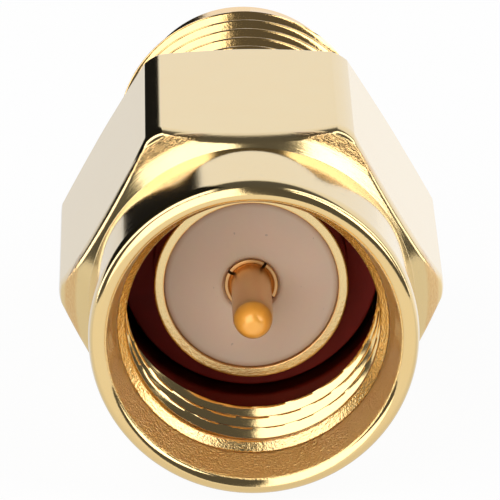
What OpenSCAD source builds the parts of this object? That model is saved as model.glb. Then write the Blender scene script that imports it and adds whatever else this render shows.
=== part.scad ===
// Coaxial adapter: a coupling-nut plug at one end and a threaded jack at the other.
// The axis lies along +Y, the plug's mouth faces -Y and +Z is up.
// The origin is on the axis at the plug's reference plane, the front face of its ferrule.
// The adapter lies on one flat of its hexagon nut.

/* [Coupling nut] */
// Width across the flats of the hexagon
nut_flats = 8.0; // [7.8:0.1:9.0]
// Whole length of the nut
nut_len = 9.65; // [9.2:0.05:10.5]
// How far the nut's front face stands ahead of the reference plane
nut_ahead = 3.82; // [3.5:0.01:4.0]
// Diameter of the round collar at the front
collar_d = 7.64; // [7.3:0.02:7.7]
// Length of the collar up to the hexagon's front chamfer
collar_len = 2.67; // [2.2:0.01:3.0]
// Rounding of the collar's front edge
collar_round = 0.2; // [0.1:0.05:0.3]
// Slope of the hexagon's front chamfer from the axis, in degrees
front_slope = 45; // [35:1:60]
// Slope of the hexagon's rear chamfer from the axis, in degrees
rear_slope = 60; // [50:1:70]
// Rounding of the hexagon's long edges
hex_round = 0.4; // [0.1:0.05:0.5]
// Width of the collar's front lip, round its coned mouth
lip_w = 0.46; // [0.35:0.01:0.6]
// Slope of the coned mouth from the axis, in degrees
mouth_slope = 19; // [15:1:45]
// Inner diameter of the nut's thread
nut_thread_d = 5.8; // [5.6:0.02:5.9]
// Depth of the thread's last turn from the front face
nut_thread_end = 3.68; // [3.2:0.01:4.0]

/* [Plug] */
// Wall of the ferrule round its insulator
ferrule_wall = 0.245; // [0.2:0.005:0.3]
// Length of the ferrule from the reference plane to the gasket's seat
ferrule_len = 2.4; // [2.2:0.05:2.6]
// How far the ferrule's root tapers in under the gasket to hold it, on the radius
gasket_taper = 0.06; // [0.02:0.01:0.1]
// How far the gasket's rim lies inside the neck, on the radius
gasket_inset = 0.07; // [0.02:0.01:0.3]
// Thickness of the gasket
gasket_t = 0.8; // [0.6:0.05:1.0]
// How far the plug's insulator sits behind the reference plane
plug_recess = 0.08; // [0:0.01:0.2]

/* [Body] */
// Diameter of the neck that the nut turns on
neck_d = 6.28; // [6.1:0.02:6.3]
// How far the shoulder behind the nut stands out past the neck, on the radius
shoulder_rise = 0.36; // [0.2:0.02:0.5]
// Thickness of the shoulder
shoulder_t = 0.9; // [0.6:0.05:1.2]
// Lead chamfer on the neck's front edge, for the ring to ride over
neck_lead = 0.15; // [0.05:0.05:0.25]
// Edge break on the shoulder, the pilot and the nut's rear bore
edge_break = 0.1; // [0.05:0.05:0.2]
// Diameter of the run-out groove behind the thread
runout_d = 5.3; // [5.0:0.05:5.6]
// Width of the run-out groove
runout_w = 0.6; // [0.4:0.05:0.9]

/* [Jack] */
// Outer diameter of the barrel's thread
jack_thread_d = 6.32; // [6.2:0.01:6.35]
// Length of the thread, from the run-out groove to the pilot
jack_thread_len = 4.45; // [4.2:0.05:6.0]
// Chamfer at the thread's end beside the run-out groove
jack_chamfer = 0.4; // [0.2:0.05:0.5]
// Diameter of the plain pilot beyond the thread
pilot_d = 5.44; // [5.3:0.02:5.5]
// Length of the pilot
pilot_len = 1.45; // [0.6:0.05:1.8]
// Depth of the bore that takes a ferrule
jack_bore_depth = 1.9; // [1.8:0.02:2.0]
// Chamfer at the bore's mouth
jack_mouth = 0.15; // [0.05:0.05:0.25]

/* [Inner pieces] */
// Diameter of both insulators
insulator_d = 4.1; // [4.0:0.01:4.15]
// Distance of the insulators' joint behind the reference plane
insulator_joint = 5.2; // [4.4:0.1:6.0]
// Chamfer on an insulator's hole at its open face
bead_edge = 0.06; // [0.02:0.02:0.12]
// Wall of the centre contact's socket round the plug's pin
socket_wall = 0.165; // [0.13:0.005:0.2]
// Diameter of the contact's collar
contact_collar_d = 1.9; // [1.6:0.05:2.4]
// Length of the contact's collar
contact_collar_len = 0.8; // [0.5:0.05:1.2]
// Diameter of the plug's pin
plug_pin_d = 0.94; // [0.9:0.01:0.96]
// How far the plug's pin stands ahead of the reference plane
plug_pin_out = 2.78; // [1.9:0.02:3.0]
// Depth of the socket that holds the plug's pin
socket_depth = 2.6; // [2.3:0.1:3.4]
// Chamfer at the socket's mouth
socket_mouth = 0.08; // [0.02:0.02:0.1]
// Width of the socket's slots
slot_w = 0.12; // [0.1:0.02:0.24]
// Length of the socket's slots
slot_len = 2.0; // [1.0:0.1:2.2]
// Turn of the slots about the axis, in degrees
slot_turn = 33; // [0:1:89]
// Diameter of the jack's pin
jack_pin_d = 0.92; // [0.9:0.01:0.96]
// How far the jack's pin stands out of its insulator
jack_pin_out = 1.75; // [1.2:0.05:1.9]
// Length of the dome at a pin's tip
tip_len = 0.7; // [0.3:0.05:0.8]
// Diameter of the flat at a pin's tip
tip_flat = 0.2; // [0.1:0.05:0.5]

/* [Retaining ring] */
// Distance of the ring's middle ahead of the nut's rear face
ring_back = 1.53; // [1.0:0.01:2.0]
// Thickness of the ring along the axis
ring_t = 0.5; // [0.4:0.05:0.6]
// How far the ring stands out past the neck, on the radius
ring_out = 0.28; // [0.2:0.02:0.34]
// Width of the ring across its section
ring_w = 0.5; // [0.44:0.02:0.56]
// Opening between the ring's ends
ring_gap = 0.9; // [0.5:0.1:1.6]

/* [Fits] */
// Running clearance between the nut and the neck, on the radius
neck_clear = 0.06; // [0.03:0.01:0.1]
// Clearance round the ring in both grooves
ring_clear = 0.08; // [0.05:0.01:0.1]
// Clearance between a ferrule and the bore that takes it, on the radius
ferrule_clear = 0.025; // [0.01:0.005:0.04]
// Gap between the nut's rear face and the shoulder
nut_end_gap = 0.13; // [0.08:0.01:0.3]

/* [Hidden] */
$fn = 96;
GOLD = "#E3CB93";
PTFE = "#EFEBE4";
RED = "#451210";
STEEL = "#B9B6AE";
// Steps in a rounded edge
ROUND_STEPS = 6;
// Overshoot of a cutter past the face it opens
CUT = 0.5;
// Axial places of the nut
nut_front = -nut_ahead;
nut_rear = nut_front + nut_len;
collar_end = nut_front + collar_len;
// Half the width across the hexagon's corners
hex_r = nut_flats / 2 / cos(30);
// Rear bore of the nut, which also clears the mating thread
nut_bore_d = neck_d + 2 * neck_clear;
mouth_d = collar_d - 2 * lip_w;
mouth_len = (mouth_d - nut_thread_d) / 2 / tan(mouth_slope);
// Ferrule and gasket
ferrule_d = insulator_d + 2 * ferrule_wall;
gasket_seat_d = ferrule_d - 2 * gasket_taper;
gasket_d = neck_d - 2 * gasket_inset;
gasket_y = ferrule_len - gasket_t;
// Socket end of the centre contact
contact_d = plug_pin_d + 2 * socket_wall;
// Jack's bore and the pilot's wall, which two end chamfers share
jack_bore_d = ferrule_d + 2 * ferrule_clear;
pilot_wall = (pilot_d - jack_bore_d) / 2;
pilot_edge = min(edge_break, pilot_wall - jack_mouth);
// Axial places of the body
shoulder_y = nut_rear + nut_end_gap;
runout_y = shoulder_y + shoulder_t;
barrel_y = runout_y + runout_w;
thread_end = barrel_y + jack_thread_len;
barrel_end = thread_end + pilot_len;
jack_plane = barrel_end - jack_bore_depth;
// The ring, the bottom of its groove in the neck and the top of its groove in the nut
ring_y = nut_rear - ring_back;
ring_d = neck_d + 2 * ring_out;
neck_groove_d = ring_d - 2 * ring_w - 2 * ring_clear;
nut_groove_d = ring_d + 2 * ring_clear;
groove_w = ring_t + 2 * ring_clear;

// Solid of revolution about the adapter's axis from points [radius, y]
module turned(points) {
    rotate([-90, 0, 0])
        rotate_extrude()
            polygon(points);
}

// Plain ring between two diameters from y to y + len
module sleeve(outer_d, inner_d, y, len) {
    turned([[inner_d / 2, y], [outer_d / 2, y], [outer_d / 2, y + len], [inner_d / 2, y + len]]);
}

// Points of a quarter round from angle a0 to angle a1 about centre c
function arc(c, r, a0, a1) =
    [for (i = [0:ROUND_STEPS])
        let (a = a0 + (a1 - a0) * i / ROUND_STEPS)
        [c[0] + r * cos(a), c[1] + r * sin(a)]];

// Hexagon with a flat on top and rounded corners
module rounded_hexagon() {
    round_centre = hex_r - hex_round / cos(30);
    polygon([for (k = [0:5])
        each arc([round_centre * cos(60 * k), round_centre * sin(60 * k)],
                 hex_round, 60 * k - 30, 60 * k + 30)]);
}

// Pin with a domed tip at the y of tip_y; dir is the way it points along Y
module pin(d, root_y, tip_y, dir) {
    flat_r = tip_flat / 2;
    dome = [for (p = arc([0, 0], 1, 0, 90))
        [flat_r + (d / 2 - flat_r) * p[0], tip_y - dir * tip_len * (1 - p[1])]];
    turned(concat([[0, root_y], [d / 2, root_y]], dome, [[0, tip_y]]));
}

// Collar with its rounded front edge, run on into the hexagon
module nut_collar() {
    r = collar_d / 2;
    turned(concat([[0, nut_front]],
                  arc([r - collar_round, nut_front + collar_round], collar_round, -90, 0),
                  [[r, collar_end + CUT], [0, collar_end + CUT]]));
}

// Double cone that chamfers the hexagon's two ends
module nut_chamfers() {
    rise = hex_r - collar_d / 2;
    drop = hex_r - nut_flats / 2;
    turned([[0, collar_end], [collar_d / 2, collar_end],
            [hex_r, collar_end + rise / tan(front_slope)],
            [hex_r, nut_rear - drop / tan(rear_slope)],
            [nut_flats / 2, nut_rear], [0, nut_rear]]);
}

// Space inside the nut: coned mouth, thread bore, rear bore and ring groove
module nut_inside() {
    thread_r = nut_thread_d / 2;
    bore_r = nut_bore_d / 2;
    last_turn = nut_front + nut_thread_end;
    turned([[0, nut_front - CUT], [mouth_d / 2, nut_front - CUT], [mouth_d / 2, nut_front],
            [thread_r, nut_front + mouth_len], [thread_r, last_turn],
            [bore_r, last_turn], [bore_r, nut_rear - edge_break],
            [bore_r + edge_break, nut_rear], [bore_r + edge_break, nut_rear + CUT],
            [0, nut_rear + CUT]]);
    sleeve(nut_groove_d, nut_bore_d - CUT, ring_y - groove_w / 2, groove_w);
}

module coupling_nut() {
    color(GOLD)
    difference() {
        union() {
            nut_collar();
            intersection() {
                translate([0, collar_end, 0])
                    rotate([-90, 0, 0])
                        linear_extrude(nut_rear - collar_end)
                            rounded_hexagon();
                nut_chamfers();
            }
        }
        nut_inside();
    }
}

module adapter_body() {
    neck_r = neck_d / 2;
    shoulder_r = neck_r + shoulder_rise;
    bore_r = insulator_d / 2;
    barrel_r = jack_thread_d / 2;
    pilot_r = pilot_d / 2;
    jack_r = jack_bore_d / 2;
    color(GOLD)
    difference() {
        turned([[bore_r, 0], [ferrule_d / 2, 0], [ferrule_d / 2, gasket_y],
                [gasket_seat_d / 2, ferrule_len],
                [neck_r - neck_lead, ferrule_len], [neck_r, ferrule_len + neck_lead],
                [neck_r, shoulder_y], [shoulder_r - edge_break, shoulder_y],
                [shoulder_r, shoulder_y + edge_break], [shoulder_r, runout_y - edge_break],
                [shoulder_r - edge_break, runout_y],
                [runout_d / 2, runout_y], [runout_d / 2, barrel_y],
                [barrel_r - jack_chamfer, barrel_y], [barrel_r, barrel_y + jack_chamfer],
                [barrel_r, thread_end - barrel_r + pilot_r], [pilot_r, thread_end],
                [pilot_r, barrel_end - pilot_edge], [pilot_r - pilot_edge, barrel_end],
                [jack_r + jack_mouth, barrel_end], [jack_r, barrel_end - jack_mouth],
                [jack_r, jack_plane], [bore_r, jack_plane]]);
        sleeve(neck_d + CUT, neck_groove_d, ring_y - groove_w / 2, groove_w);
    }
}

module retaining_ring() {
    color(STEEL)
    difference() {
        sleeve(ring_d, ring_d - 2 * ring_w, ring_y - ring_t / 2, ring_t);
        translate([-ring_gap / 2, ring_y - ring_t, 0])
            cube([ring_gap, 2 * ring_t, ring_d]);
    }
}

module gasket() {
    color(RED)
        turned([[ferrule_d / 2, gasket_y], [gasket_d / 2, gasket_y],
                [gasket_d / 2, ferrule_len], [gasket_seat_d / 2, ferrule_len]]);
}

// Bead round the contact from its open face to the joint, with half of the collar's pocket there
module bead(open_y) {
    hole_r = contact_d / 2;
    dir = sign(insulator_joint - open_y);
    pocket_y = insulator_joint - dir * contact_collar_len / 2;
    turned([[hole_r + bead_edge, open_y], [insulator_d / 2, open_y],
            [insulator_d / 2, insulator_joint], [contact_collar_d / 2, insulator_joint],
            [contact_collar_d / 2, pocket_y], [hole_r, pocket_y],
            [hole_r, open_y + dir * bead_edge]]);
}

module plug_insulator() {
    color(PTFE)
        bead(plug_recess);
}

module jack_insulator() {
    color(PTFE)
        bead(jack_plane);
}

module centre_contact() {
    half_collar = contact_collar_len / 2;
    socket_r = plug_pin_d / 2;
    color(GOLD)
    difference() {
        union() {
            sleeve(contact_d, 0, plug_recess, jack_plane - plug_recess);
            sleeve(contact_collar_d, 0, insulator_joint - half_collar, contact_collar_len);
            pin(jack_pin_d, jack_plane, jack_plane + jack_pin_out, 1);
        }
        turned([[0, plug_recess - CUT], [socket_r + socket_mouth, plug_recess - CUT],
                [socket_r + socket_mouth, plug_recess], [socket_r, plug_recess + socket_mouth],
                [socket_r, plug_recess + socket_depth], [0, plug_recess + socket_depth]]);
        for (turn = [slot_turn, slot_turn + 90])
            rotate([0, turn, 0])
                translate([-contact_d, plug_recess - CUT, -slot_w / 2])
                    cube([2 * contact_d, slot_len + CUT, slot_w]);
    }
}

module plug_pin() {
    color(GOLD)
        pin(plug_pin_d, plug_recess + socket_depth, -plug_pin_out, -1);
}

coupling_nut();
adapter_body();
retaining_ring();
gasket();
plug_insulator();
jack_insulator();
centre_contact();
plug_pin();
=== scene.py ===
"""Gold plated coaxial adapter: a coupling-nut plug at one end and a threaded jack at the other."""

import math
from types import SimpleNamespace

import bpy
import numpy as np
from bpy.props import FloatProperty, FloatVectorProperty, IntProperty, PointerProperty
from mathutils import Matrix, Vector


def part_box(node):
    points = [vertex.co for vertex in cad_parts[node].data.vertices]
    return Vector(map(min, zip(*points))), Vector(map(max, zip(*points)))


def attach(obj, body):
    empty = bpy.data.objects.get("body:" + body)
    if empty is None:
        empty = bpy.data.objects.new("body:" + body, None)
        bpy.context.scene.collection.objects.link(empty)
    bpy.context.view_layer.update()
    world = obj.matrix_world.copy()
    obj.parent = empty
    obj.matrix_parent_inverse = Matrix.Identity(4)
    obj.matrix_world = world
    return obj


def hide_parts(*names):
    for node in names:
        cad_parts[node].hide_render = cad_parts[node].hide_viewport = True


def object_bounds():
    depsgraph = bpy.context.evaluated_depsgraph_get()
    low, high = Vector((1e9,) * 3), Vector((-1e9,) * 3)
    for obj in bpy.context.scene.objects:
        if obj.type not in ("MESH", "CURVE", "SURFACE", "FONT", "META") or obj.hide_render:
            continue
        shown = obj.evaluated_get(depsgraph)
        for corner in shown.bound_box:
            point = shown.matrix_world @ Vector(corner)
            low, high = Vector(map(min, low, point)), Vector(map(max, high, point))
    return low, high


bl_info = {
    "name": "Coaxial Adapter",
    "version": (1, 0, 0),
    "blender": (4, 5, 0),
    "location": "3D View > Sidebar > Adapter",
    "description": "Gold plated coaxial adapter with a loose coupling nut and a threaded jack",
    "category": "Add Mesh",
}

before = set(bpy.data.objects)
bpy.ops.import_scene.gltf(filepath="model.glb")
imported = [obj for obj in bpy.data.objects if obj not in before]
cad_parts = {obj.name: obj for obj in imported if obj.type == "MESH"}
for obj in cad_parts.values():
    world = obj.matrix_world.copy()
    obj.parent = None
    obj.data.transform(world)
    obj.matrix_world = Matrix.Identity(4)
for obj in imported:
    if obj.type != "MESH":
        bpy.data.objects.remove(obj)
CAD_BOX = [list(corner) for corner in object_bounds()]

MM = 0.001
WHITE = (1.0, 1.0, 1.0, 1.0)
# Vertices closer than this, in mm, are one
WELD = 0.0001
# Steps in a rounded edge
ROUND_STEPS = 6
# Distance of the row beside a rounded edge that keeps the next face flat, in mm
GUARD = 0.012
# The most of a side that a rounding and its guard take
ROUND_SHARE = 0.6
GUARD_SHARE = 0.65
# Roundings of edges, in mm
FINE = 0.02
EASED = 0.03
SOFT = 0.04
ROUND = 0.05
FULL = 0.08
WIDE = 0.12
# Rows of a pin's domed tip
DOME_STEPS = 16
# Sides of the hexagon
SIDES = 6
# Columns from a flat to the middle of the hexagon's corner, and the turn of its first, tighter roll
CORNER_STEPS = 10
CORNER_TURN = math.radians(15.0)
# Steps that trace the nut's front cone, its rows of faces and the passes that find its top
CONE_STEPS = 120
CONE_ROWS = 8
CONE_PASSES = 4
# Width of the cone's change of slope, in mm
CONE_TURN = 0.1
# Tilts to the front where the soft rolls of the flats and of the collar end
BROW_TURN = math.radians(10.0)
LIP_TURN = math.radians(15.0)
# Depth of the mouth's first row, in mm
MOUTH_ROW = 0.2
# Edges sharper than this are drawn as edges
CREASE = math.radians(42.0)
# Rows of faces in one turn of a thread
ROWS_PER_TURN = 24
# Shares of the pitch that a thread's crest and root take, and the softness of their edges
NUT_RIDGE = (0.08, 0.51, 0.12)
JACK_RIDGE = (0.14, 0.2, 0.2)
# Vertices matched to their profile at a time
BATCH = 4096
# Width of the camera's sensor, in mm, and the nearest that it sees, in m
SENSOR = 36.0
NEAREST = 0.005


def reach(node):
    """First y, last y and outer radius of a CAD node, in mm."""
    low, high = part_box(node)
    return low.y / MM, high.y / MM, max(high.x, high.z) / MM


NUT_FRONT, NUT_REAR, NUT_CORNER = reach("coupling_nut")
NUT_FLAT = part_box("coupling_nut")[1].z / MM
BODY_FRONT, BODY_END, SHOULDER_R = reach("adapter_body")
GASKET_FRONT, GASKET_END, GASKET_R = reach("gasket")
BEAD_FRONT, BEAD_JOINT, BEAD_R = reach("plug_insulator")
JACK_PLANE = reach("jack_insulator")[1]
CONTACT_FRONT, CONTACT_TIP, CONTACT_COLLAR_R = reach("centre_contact")
PIN_TIP, PIN_ROOT, PIN_R = reach("plug_pin")
RING_FRONT, RING_END, RING_R = reach("retaining_ring")
FLOOR_Z = CAD_BOX[0][2]


def length(name, description, size):
    """A length property whose default is given in mm."""
    return FloatProperty(
        name=name, description=description, default=size * MM, min=0.0, unit="LENGTH", precision=6
    )


def colour(name, description, value):
    """A colour property."""
    return FloatVectorProperty(
        name=name, description=description, default=value, subtype="COLOR", min=0.0, max=1.0
    )


def share(name, description, value):
    """A property between nothing and all."""
    return FloatProperty(
        name=name, description=description, default=value, min=0.0, max=1.0, subtype="FACTOR"
    )


def level(name, description, value):
    """A level of light."""
    return FloatProperty(name=name, description=description, default=value, min=0.0)


def slope(name, description, degrees):
    """An angle property whose default is given in degrees."""
    return FloatProperty(
        name=name, description=description, default=math.radians(degrees), unit="ROTATION"
    )


class AdapterNutSizes(bpy.types.PropertyGroup):
    """Sizes of the coupling nut."""

    collar: length("Collar", "Radius of the round collar", 3.82)
    collar_len: length("Collar length", "Length of the collar up to the hexagon", 2.67)
    lip: length("Lip", "Width of the collar's front lip", 0.4)
    lip_out: length("Lip outer edge", "Rounding of the lip's outer edge", 0.2)
    lip_soft: length("Lip roll", "Rounding where the collar rolls down to that edge", 1.2)
    lip_in: length("Lip inner edge", "Rounding of the lip's inner edge", 0.21)
    corner: length("Corner", "Rounding of the hexagon's long edges", 0.85)
    corner_soft: length("Corner roll", "Tighter rounding where the flats turn into those edges", 0.05)
    mouth_slope: slope("Mouth slope", "Mean slope of the coned mouth from the axis", 19.0)
    mouth_lead: length("Mouth lead", "Height of the steep lead at the mouth's inner end", 0.22)
    thread_lead: length("Thread lead", "Length over which the thread deepens", 0.35)
    cone_slope: slope("Cone slope", "Slope of the front cone from the axis", 46.0)
    cone_out: slope("Outer cone slope", "Slope of the front cone's outer part", 38.0)
    cone_mid: length("Cone middle", "Radius where the front cone's slope changes", 4.13)
    brow: length("Brow", "Rounding between the front cone and the flats", 0.3)
    brow_soft: length("Brow roll", "Rounding where the flats roll down to it", 2.0)
    thread: length("Thread crest", "Inner radius of the thread", 2.95)
    thread_depth: length("Thread depth", "Depth of the thread's groove", 0.25)
    thread_len: length("Thread length", "Depth of the thread's last turn from the front", 3.68)
    bore: length("Bore", "Radius of the bore that turns on the neck", 3.2)
    groove: length("Ring groove", "Radius of the groove that takes the ring", 3.5)
    groove_gap: length("Ring room", "Clearance on each side of the ring", 0.08)
    bore_edge: length("Bore edge", "Chamfer at the bore's rear end", 0.1)
    rear_inset: length("Rear inset", "Distance of the rear face's edge under the flats", 0.06)
    rear_slope: slope("Rear slope", "Slope of the rear chamfer from the axis", 60.0)
    columns: IntProperty(name="Columns", description="Faces round the nut", default=288, min=48)


class AdapterBodySizes(bpy.types.PropertyGroup):
    """Sizes of the body and its gasket, and the pitch of both threads."""

    ferrule: length("Ferrule", "Outer radius of the plug's ferrule", 2.295)
    seat: length("Seat", "Radius of the ferrule's root under the gasket", 2.235)
    neck: length("Neck", "Radius of the neck that the nut turns on", 3.14)
    neck_lead: length("Neck lead", "Chamfer on the neck's front edge", 0.15)
    neck_groove: length("Neck groove", "Radius of the bottom of the ring's groove", 2.84)
    shoulder_y: length("Shoulder", "Distance of the shoulder behind the ferrule's face", 5.96)
    shoulder_t: length("Shoulder thickness", "Thickness of the shoulder", 0.9)
    edge: length("Edge break", "Chamfer on the shoulder's edges", 0.1)
    runout: length("Run-out", "Radius of the run-out groove", 2.65)
    runout_w: length("Run-out width", "Width of the run-out groove", 0.6)
    thread: length("Thread crest", "Outer radius of the jack's thread", 3.16)
    thread_depth: length("Thread depth", "Depth of the jack's thread", 0.42)
    thread_edge: length("Thread edge", "Chamfer at the thread's end beside the run-out", 0.4)
    thread_len: length("Thread length", "Length of the thread up to the pilot", 4.45)
    pilot: length("Pilot", "Radius of the plain pilot beyond the thread", 2.72)
    pilot_edge: length("Pilot edge", "Chamfer on the pilot's end", 0.1)
    pitch: length("Pitch", "Pitch of both threads", 0.7056)
    jack_bore: length("Jack bore", "Radius of the bore that takes a ferrule", 2.32)
    jack_mouth: length("Jack mouth", "Chamfer at the bore's mouth", 0.15)
    gasket_edge: length("Gasket edge", "Rounding of the gasket's edges", 0.06)
    columns: IntProperty(name="Columns", description="Faces round the body", default=240, min=48)


class AdapterCoreSizes(bpy.types.PropertyGroup):
    """Sizes of the insulators, the contact, the pin and the retaining ring."""

    contact: length("Contact", "Outer radius of the contact", 0.635)
    contact_collar: length("Contact collar", "Length of the contact's collar", 0.8)
    socket: length("Socket", "Radius of the socket that holds the pin", 0.47)
    socket_depth: length("Socket depth", "Depth of the socket", 2.6)
    socket_mouth: length("Socket mouth", "Chamfer at the socket's mouth", 0.08)
    slot_w: length("Slot width", "Width of the socket's slots", 0.07)
    slot_len: length("Slot length", "Length of the socket's slots", 2.0)
    slot_turn: slope("Slot turn", "Turn of the socket's slots about the axis", 33.0)
    bead_edge: length("Bead edge", "Chamfer on an insulator's hole", 0.06)
    jack_pin: length("Jack pin", "Radius of the jack's pin", 0.46)
    tip_len: length("Tip length", "Length of the dome at a pin's tip", 0.7)
    tip_flat: length("Tip flat", "Radius of the flat at a pin's tip", 0.1)
    ring_w: length("Ring width", "Width of the retaining ring's section", 0.5)
    ring_gap: length("Ring gap", "Opening between the ring's ends", 0.9)
    columns: IntProperty(name="Columns", description="Faces round a piece", default=128, min=24)


class AdapterFinish(bpy.types.PropertyGroup):
    """Colours and gloss of the finishes."""

    gold: colour("Gold", "Flash gold of the nut and body", (0.84, 0.65, 0.32))
    gold_warm: colour("Warm gold", "Thicker gold in the tool marks", (0.86, 0.60, 0.25))
    gold_rough: share("Gold roughness", "Roughness of the polished gold", 0.07)
    gold_coat: share("Gold coat", "Gloss over the polished gold", 0.6)
    thread_gold: colour("Thread gold", "Browner gold of the jack's thread", (1.0, 0.60, 0.20))
    # Brown gold used as painted shade: along the edges of the ferrule's face and over the nut's outer
    # cone
    painted_shade_gold: colour("Rim gold", "Warmer gold of the ferrule's edges and the cone", (0.72, 0.40, 0.14))
    tarnish: colour("Tarnish", "Dull specks in the nut's gold", (0.50, 0.42, 0.30))
    # A brighter gold for the rough mouth: painted light from the lamps in front
    mouth_lit_gold: colour("Mouth gold", "Gold of the nut's rough mouth", (1.0, 0.68, 0.27))
    # The tips' deep orange is partly the hard gold and partly painted reflection of gold mirrored many
    # times
    tip_gold_and_reflection: colour("Pin gold", "Hard gold of the pins' tips", (0.97, 0.44, 0.06))
    pin_rough: share("Pin roughness", "Roughness of the hard gold", 0.32)
    tip_metal: share("Tip metal", "Metal of the pins' tips", 0.3)
    tip_coat: share("Tip coat", "Gloss over the pins' tips", 0.8)
    tip_coat_rough: share("Tip coat roughness", "Roughness of that gloss", 0.08)
    # Browner gold on the contact's front end: painted shade of the recess that it sits in
    socket_shade_gold: colour("Socket gold", "Gold of the socket's end", (0.66, 0.40, 0.18))
    shaft_gold: colour("Shaft gold", "Paler gold of the contact and shafts", (0.90, 0.62, 0.33))
    # The insulators' tan is white PTFE painted with the gold that it reflects in the nut's shade
    ptfe: colour("PTFE", "Insulators", (0.83, 0.645, 0.515))
    ptfe_pale: colour("Pale PTFE", "Paler clouds in the insulators", (0.84, 0.70, 0.60))
    # Orange brown at the insulators' edges: painted shade of the gaps and painted reflection of the gold
    # beside them
    ptfe_edge_painted_shade: colour("PTFE edge", "Gold that shines through the edges", (0.62, 0.34, 0.18))
    ptfe_speck: colour("PTFE speck", "Specks in the insulators", (0.40, 0.32, 0.27))
    ptfe_rough: share("PTFE roughness", "Roughness of the insulators", 0.42)
    ptfe_glow: share("PTFE glow", "Light that passes under the insulators' skin", 0.5)
    rubber: colour("Rubber", "Silicone gasket", (0.26, 0.014, 0.010))
    rubber_dark: colour("Dark rubber", "Darker clouds in the gasket", (0.10, 0.008, 0.006))
    rubber_rough: share("Rubber roughness", "Roughness of the gasket", 0.45)
    rubber_gloss: share("Rubber gloss", "Strength of the gasket's reflections", 0.25)
    steel: colour("Spring steel", "Retaining ring", (0.50, 0.47, 0.42))
    steel_dark: colour("Dark steel", "Darker wear on the ring", (0.36, 0.33, 0.29))
    steel_rough: share("Steel roughness", "Roughness of the ring", 0.25)


class AdapterStage(bpy.types.PropertyGroup):
    """Camera and light."""

    lens: FloatProperty(name="Lens", description="Focal length in mm", default=490.03, min=1.0)
    azimuth: slope("Azimuth", "Turn of the view", 0.764)
    elevation: slope("Elevation", "Height of the view", 19.506)
    roll: slope("Roll", "Lean of the camera", -0.6)
    eye: FloatVectorProperty(
        name="Eye", description="Place of the camera", unit="LENGTH", subtype="XYZ",
        default=(-2.03 * MM, -150.53 * MM, 54.23 * MM), precision=6,
    )
    floor: colour("Floor", "Pale floor", (0.86, 0.86, 0.86))
    floor_size: FloatProperty(
        name="Floor size", description="Side of the floor", default=0.16, unit="LENGTH"
    )
    room: level("Room", "Level of the dim room", 0.1)
    flag: level("Flag", "Level of the dark flag", 0.01)
    backdrop: level("Backdrop", "Level of the backdrop", 0.95)
    left: level("Left light", "Level of the left soft light", 2.3)
    left_rear: level("Left rear light", "Level of the soft light behind it", 2.3)
    right: level("Right light", "Level of the right soft light", 3.2)
    right_rear: level("Right rear light", "Level of the soft light behind it", 2.2)


# The dark flag, the backdrop and the four soft lights, each by its edges:
# the direction that faces in, the least value along it and half the width of the soft edge
PANELS = {
    "flag": (
        ((-1.0, 0.0, 0.0), 0.19, 0.015),
        ((0.0, 1.0, 0.0), 0.5, 0.1),
    ),
    "backdrop": (
        ((1.0, 0.0, 0.0), -0.19, 0.015),
        ((0.0, 1.0, 0.0), 0.6, 0.05),
        ((0.0, 0.0, -1.0), -0.5, 0.05),
    ),
    "left": (
        ((-1.0, 0.0, -0.1), 0.0, 0.03),
        ((0.0, -1.0, 0.0), 0.2, 0.04),
        ((0.583, -0.655, 0.48), 0.0, 0.04),
    ),
    "left_rear": (
        ((-1.0, 0.0, -0.33), 0.0, 0.05),
        ((0.0, 1.0, 0.0), 0.15, 0.05),
        ((0.0, -1.0, 0.0), -0.6, 0.05),
    ),
    "right": (
        ((1.0, 0.95, -0.12), 0.0, 0.04),
        ((0.0, -1.0, 0.0), 0.2, 0.04),
        ((0.0, 0.52, 1.0), 0.0, 0.04),
    ),
    "right_rear": (
        ((1.0, 0.0, -0.33), 0.0, 0.05),
        ((0.0, 1.0, 0.0), 0.15, 0.05),
        ((0.0, -1.0, 0.0), -0.45, 0.05),
    ),
}

# Light of the floor as the gold mirrors it: its base, and what it gains to the front and the right
FLOOR_GLOW = SimpleNamespace(base=0.8, front=0.2, right=0.26)
# Places in mm where those gains start and are full: y for the front, x and y for the right
FRONT_GAIN = (-2.0, -8.0)
RIGHT_GAIN = (-4.0, 8.0)
REAR_GAIN = (-4.0, 12.0)
# How much of that light, in place of the matt floor, the camera and the gold see
FLOOR_SEEN = SimpleNamespace(camera=0.95, gold=0.8)

GROUPS = {
    "adapter_nut": AdapterNutSizes,
    "adapter_body": AdapterBodySizes,
    "adapter_core": AdapterCoreSizes,
    "adapter_finish": AdapterFinish,
    "adapter_stage": AdapterStage,
}


def sizes(group):
    """The group's values, with its lengths in mm."""
    found = {}
    for key in group.__annotations__:
        value = getattr(group, key)
        unit = group.bl_rna.properties[key].unit
        found[key] = value / MM if unit == "LENGTH" and isinstance(value, float) else value
    return SimpleNamespace(**found)


def mouth_end(nut):
    """Where the nut's coned mouth meets the crest of its thread."""
    return NUT_FRONT + (nut.collar - nut.lip - nut.thread) / math.tan(nut.mouth_slope)


def ring_room(nut):
    """First and last y of the two grooves that take the ring."""
    return RING_FRONT - nut.groove_gap, RING_END + nut.groove_gap


# Shaping


def deselect():
    """Leave edit mode and select nothing."""
    if bpy.context.mode != "OBJECT":
        bpy.ops.object.mode_set(mode="OBJECT")
    bpy.ops.object.select_all(action="DESELECT")


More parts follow.
